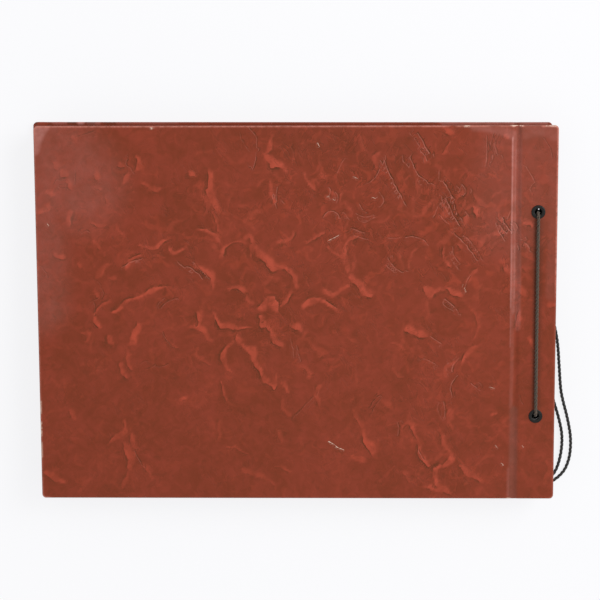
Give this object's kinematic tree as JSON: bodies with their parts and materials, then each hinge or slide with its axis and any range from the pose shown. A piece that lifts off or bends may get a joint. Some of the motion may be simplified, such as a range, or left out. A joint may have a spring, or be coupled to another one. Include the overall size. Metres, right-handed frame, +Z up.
{
  "type": "photo album",
  "caption": "Cord-laced photo album lying face down, with two board covers that hinge at a groove beside a laced strip, and black leaves that turn at their creases.",
  "frame": {"origin": "middle of the album's footprint on the surface it lies on, leaving out the free cord", "axes": "+X towards the laced spine edge, +Y towards the head of the album, +Z up, out of the back cover"},
  "size_m": [0.4, 0.279, 0.0312],
  "materials": {
    "pasteboard": "matt grey-brown pasteboard",
    "leatherette": "crushed-grain leatherette paper, satin, worn at the edges",
    "lining_paper": "matt dark lining paper",
    "eyelet_enamel": "black enamel",
    "album_paper": "matt black album paper",
    "guard_paper": "matt black paper",
    "cord": "twisted rayon cord, black with tan flecks",
    "tag_metal": "dull crimped metal"
  },
  "bodies": {
    "front_cover": {"front_board": "pasteboard", "front_covering": "leatherette", "front_lining": "lining_paper"},
    "binding": {"back_strip_board": "pasteboard", "back_strip_covering": "leatherette", "back_strip_lining": "lining_paper", "front_strip_board": "pasteboard", "front_strip_covering": "leatherette", "front_strip_lining": "lining_paper", "back_eyelet_upper": "eyelet_enamel", "back_eyelet_lower": "eyelet_enamel", "front_eyelet_upper": "eyelet_enamel", "front_eyelet_lower": "eyelet_enamel", "leaf_margins": "album_paper", "guard_strips": "guard_paper", "lacing": "cord", "bow_knot": "cord", "bow_loop_upper": "cord", "bow_loop_lower": "cord", "tail_outer": "cord", "tail_inner": "cord", "tag_outer": "tag_metal", "tag_inner": "tag_metal"},
    "back_cover": {"back_board": "pasteboard", "back_covering": "leatherette", "back_lining": "lining_paper"},
    "leaf_01": {"leaf_01": "album_paper"},
    "leaf_02": {"leaf_02": "album_paper"},
    "leaf_03": {"leaf_03": "album_paper"},
    "leaf_04": {"leaf_04": "album_paper"},
    "leaf_05": {"leaf_05": "album_paper"},
    "leaf_06": {"leaf_06": "album_paper"},
    "leaf_07": {"leaf_07": "album_paper"},
    "leaf_08": {"leaf_08": "album_paper"},
    "leaf_09": {"leaf_09": "album_paper"},
    "leaf_10": {"leaf_10": "album_paper"},
    "leaf_11": {"leaf_11": "album_paper"},
    "leaf_12": {"leaf_12": "album_paper"},
    "leaf_13": {"leaf_13": "album_paper"},
    "leaf_14": {"leaf_14": "album_paper"},
    "leaf_15": {"leaf_15": "album_paper"},
    "leaf_16": {"leaf_16": "album_paper"},
    "leaf_17": {"leaf_17": "album_paper"},
    "leaf_18": {"leaf_18": "album_paper"},
    "leaf_19": {"leaf_19": "album_paper"},
    "leaf_20": {"leaf_20": "album_paper"},
    "leaf_21": {"leaf_21": "album_paper"},
    "leaf_22": {"leaf_22": "album_paper"}
  },
  "joints": [
    {"name": "back_cover_hinge", "type": "hinge", "parent": "binding", "child": "back_cover", "pos_m": [0.16075, 0, 0.02805], "axis": [0, 1, 0], "range_deg": [0, 166]},
    {"name": "front_cover_hinge", "type": "hinge", "parent": "front_cover", "child": "binding", "pos_m": [0.16075, 0, 0.0059], "axis": [0, -1, 0], "range_deg": [-148, 0]},
    {"name": "leaf_01_crease", "type": "hinge", "parent": "binding", "child": "leaf_01", "pos_m": [0.15875, 0, 0.00962], "axis": [0, 1, 0], "range_deg": [-88.01, 0]},
    {"name": "leaf_02_crease", "type": "hinge", "parent": "binding", "child": "leaf_02", "pos_m": [0.15835, 0, 0.01033], "axis": [0, 1, 0], "range_deg": [-80.01, 0]},
    {"name": "leaf_03_crease", "type": "hinge", "parent": "binding", "child": "leaf_03", "pos_m": [0.15795, 0, 0.01103], "axis": [0, 1, 0], "range_deg": [-72.01, 0]},
    {"name": "leaf_04_crease", "type": "hinge", "parent": "binding", "child": "leaf_04", "pos_m": [0.15755, 0, 0.01172], "axis": [0, 1, 0], "range_deg": [-64.01, 0]},
    {"name": "leaf_05_crease", "type": "hinge", "parent": "binding", "child": "leaf_05", "pos_m": [0.15715, 0, 0.01243], "axis": [0, 1, 0], "range_deg": [-56.01, 0]},
    {"name": "leaf_06_crease", "type": "hinge", "parent": "binding", "child": "leaf_06", "pos_m": [0.15675, 0, 0.01312], "axis": [0, 1, 0], "range_deg": [-48.01, 0]},
    {"name": "leaf_07_crease", "type": "hinge", "parent": "binding", "child": "leaf_07", "pos_m": [0.15635, 0, 0.01383], "axis": [0, 1, 0], "range_deg": [-40.01, 0]},
    {"name": "leaf_08_crease", "type": "hinge", "parent": "binding", "child": "leaf_08", "pos_m": [0.15595, 0, 0.01452], "axis": [0, 1, 0], "range_deg": [-32.01, 0]},
    {"name": "leaf_09_crease", "type": "hinge", "parent": "binding", "child": "leaf_09", "pos_m": [0.15555, 0, 0.01523], "axis": [0, 1, 0], "range_deg": [-24.01, 0]},
    {"name": "leaf_10_crease", "type": "hinge", "parent": "binding", "child": "leaf_10", "pos_m": [0.15515, 0, 0.01593], "axis": [0, 1, 0], "range_deg": [-16.01, 0]},
    {"name": "leaf_11_crease", "type": "hinge", "parent": "binding", "child": "leaf_11", "pos_m": [0.15475, 0, 0.01663], "axis": [0, 1, 0], "range_deg": [-8.01, 0]},
    {"name": "leaf_12_crease", "type": "hinge", "parent": "binding", "child": "leaf_12", "pos_m": [0.15475, 0, 0.01733], "axis": [0, 1, 0], "range_deg": [0, 8.01]},
    {"name": "leaf_13_crease", "type": "hinge", "parent": "binding", "child": "leaf_13", "pos_m": [0.15515, 0, 0.01802], "axis": [0, 1, 0], "range_deg": [0, 16.01]},
    {"name": "leaf_14_crease", "type": "hinge", "parent": "binding", "child": "leaf_14", "pos_m": [0.15555, 0, 0.01872], "axis": [0, 1, 0], "range_deg": [0, 24.01]},
    {"name": "leaf_15_crease", "type": "hinge", "parent": "binding", "child": "leaf_15", "pos_m": [0.15595, 0, 0.01943], "axis": [0, 1, 0], "range_deg": [0, 32.01]},
    {"name": "leaf_16_crease", "type": "hinge", "parent": "binding", "child": "leaf_16", "pos_m": [0.15635, 0, 0.02013], "axis": [0, 1, 0], "range_deg": [0, 40.01]},
    {"name": "leaf_17_crease", "type": "hinge", "parent": "binding", "child": "leaf_17", "pos_m": [0.15675, 0, 0.02082], "axis": [0, 1, 0], "range_deg": [0, 48.01]},
    {"name": "leaf_18_crease", "type": "hinge", "parent": "binding", "child": "leaf_18", "pos_m": [0.15715, 0, 0.02152], "axis": [0, 1, 0], "range_deg": [0, 56.01]},
    {"name": "leaf_19_crease", "type": "hinge", "parent": "binding", "child": "leaf_19", "pos_m": [0.15755, 0, 0.02223], "axis": [0, 1, 0], "range_deg": [0, 64.01]},
    {"name": "leaf_20_crease", "type": "hinge", "parent": "binding", "child": "leaf_20", "pos_m": [0.15795, 0, 0.02293], "axis": [0, 1, 0], "range_deg": [0, 72.01]},
    {"name": "leaf_21_crease", "type": "hinge", "parent": "binding", "child": "leaf_21", "pos_m": [0.15835, 0, 0.02363], "axis": [0, 1, 0], "range_deg": [0, 80.01]},
    {"name": "leaf_22_crease", "type": "hinge", "parent": "binding", "child": "leaf_22", "pos_m": [0.15875, 0, 0.02432], "axis": [0, 1, 0], "range_deg": [0, 88.01]}
  ],
  "couplings": [
    {"joint": "leaf_01_crease", "follows": "front_cover_hinge", "ratio": 0.59459},
    {"joint": "leaf_02_crease", "follows": "front_cover_hinge", "ratio": 0.54054},
    {"joint": "leaf_03_crease", "follows": "front_cover_hinge", "ratio": 0.48649},
    {"joint": "leaf_04_crease", "follows": "front_cover_hinge", "ratio": 0.43243},
    {"joint": "leaf_05_crease", "follows": "front_cover_hinge", "ratio": 0.37838},
    {"joint": "leaf_06_crease", "follows": "front_cover_hinge", "ratio": 0.32432},
    {"joint": "leaf_07_crease", "follows": "front_cover_hinge", "ratio": 0.27027},
    {"joint": "leaf_08_crease", "follows": "front_cover_hinge", "ratio": 0.21622},
    {"joint": "leaf_09_crease", "follows": "front_cover_hinge", "ratio": 0.16216},
    {"joint": "leaf_10_crease", "follows": "front_cover_hinge", "ratio": 0.10811},
    {"joint": "leaf_11_crease", "follows": "front_cover_hinge", "ratio": 0.054054},
    {"joint": "leaf_12_crease", "follows": "back_cover_hinge", "ratio": 0.048193},
    {"joint": "leaf_13_crease", "follows": "back_cover_hinge", "ratio": 0.096386},
    {"joint": "leaf_14_crease", "follows": "back_cover_hinge", "ratio": 0.14458},
    {"joint": "leaf_15_crease", "follows": "back_cover_hinge", "ratio": 0.19277},
    {"joint": "leaf_16_crease", "follows": "back_cover_hinge", "ratio": 0.24096},
    {"joint": "leaf_17_crease", "follows": "back_cover_hinge", "ratio": 0.28916},
    {"joint": "leaf_18_crease", "follows": "back_cover_hinge", "ratio": 0.33735},
    {"joint": "leaf_19_crease", "follows": "back_cover_hinge", "ratio": 0.38554},
    {"joint": "leaf_20_crease", "follows": "back_cover_hinge", "ratio": 0.43373},
    {"joint": "leaf_21_crease", "follows": "back_cover_hinge", "ratio": 0.48193},
    {"joint": "leaf_22_crease", "follows": "back_cover_hinge", "ratio": 0.53012}
  ]
}
